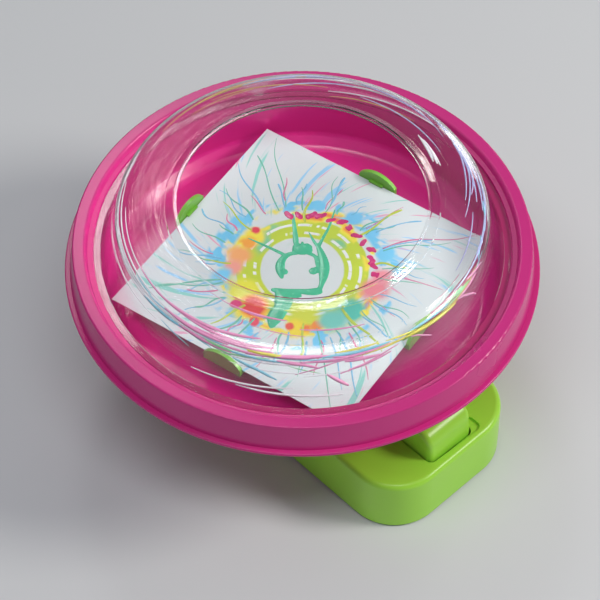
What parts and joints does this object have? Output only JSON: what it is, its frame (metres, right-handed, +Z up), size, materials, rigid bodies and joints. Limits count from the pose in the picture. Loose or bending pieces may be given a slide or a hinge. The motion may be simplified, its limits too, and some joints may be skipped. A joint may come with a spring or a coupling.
{
  "type": "spin art machine",
  "caption": "Toy that spins a square of paper inside a splash bowl under a clear lift-off shield when its lever is pressed.",
  "frame": {"origin": "on the ground under the plate's spin axis, which is also the centre of the bounding box's foot", "axes": "+Z up along the spin axis; -Y along the base's arm, towards the lever"},
  "size_m": [0.24, 0.24, 0.136],
  "materials": {
    "lime_plastic": "glossy moulding",
    "magenta_plastic": "glossy moulding",
    "clear_plastic": "clear thermoformed sheet",
    "paper": "smooth white card",
    "rubber": "matte",
    "natural_plastic": "satin moulding",
    "white_gears": "satin moulding",
    "steel": "ground",
    "bronze": "sintered",
    "paint": "poured paint, several colours"
  },
  "bodies": {
    "base": {"base_housing": "lime_plastic", "bottom_cover": "lime_plastic", "rubber_feet": "rubber", "cover_screws": "steel", "gear_plate": "natural_plastic", "gear_plate_screws": "steel", "tray_screws": "steel", "gear_axles": "steel", "lower_bush": "bronze", "upper_bush": "bronze", "splash_tray": "magenta_plastic", "lever_pin": "steel"},
    "lever": {"press_lever": "lime_plastic", "return_spring": "steel"},
    "rack": {"drive_rack": "white_gears"},
    "first_gear": {"first_gear": "white_gears"},
    "second_gear": {"second_gear": "white_gears"},
    "clutch_gear": {"clutch_gear": "white_gears"},
    "rotor": {"pawl_hub": "natural_plastic", "spindle": "steel", "spindle_clip": "steel", "spin_plate": "lime_plastic", "paper_card": "paper"},
    "shield": {"splash_shield": "clear_plastic"}
  },
  "joints": [
    {"name": "lever_press", "type": "hinge", "parent": "base", "child": "lever", "pos_m": [0, -0.047, 0.04], "axis": [1, 0, 0], "range_deg": [0, 14], "stiffness_Nm_per_rad": 2, "springref_deg": -8.59, "deforming": ["return_spring"]},
    {"name": "rack_slide", "type": "slide", "parent": "base", "child": "rack", "axis": [0, 1, 0], "range_m": [0, 0.0049]},
    {"name": "first_gear_spin", "type": "hinge", "parent": "base", "child": "first_gear", "pos_m": [0.0096, -0.03014, 0.014], "axis": [0, 0, 1], "range_deg": [-47, 0]},
    {"name": "second_gear_spin", "type": "hinge", "parent": "base", "child": "second_gear", "pos_m": [0.022, -0.00959, 0.01], "axis": [0, 0, 1], "range_deg": [0, 141]},
    {"name": "clutch_spin", "type": "hinge", "parent": "base", "child": "clutch_gear", "pos_m": [0, 0, 0.01], "axis": [0, 0, 1], "range_deg": [-421, 0]},
    {"name": "plate_spin", "type": "hinge", "parent": "base", "child": "rotor", "pos_m": [0, 0, 0.08], "axis": [0, 0, 1], "continuous": true},
    {"name": "shield_lift", "type": "slide", "parent": "base", "child": "shield", "axis": [0, 0, 1], "range_m": [0, 0.06]}
  ],
  "couplings": [
    {"joint": "rack_slide", "follows": "lever_press", "m_per_rad": 0.02},
    {"joint": "first_gear_spin", "follows": "lever_press", "ratio": -3.3333},
    {"joint": "second_gear_spin", "follows": "lever_press", "ratio": 10},
    {"joint": "clutch_spin", "follows": "lever_press", "ratio": -30}
  ]
}
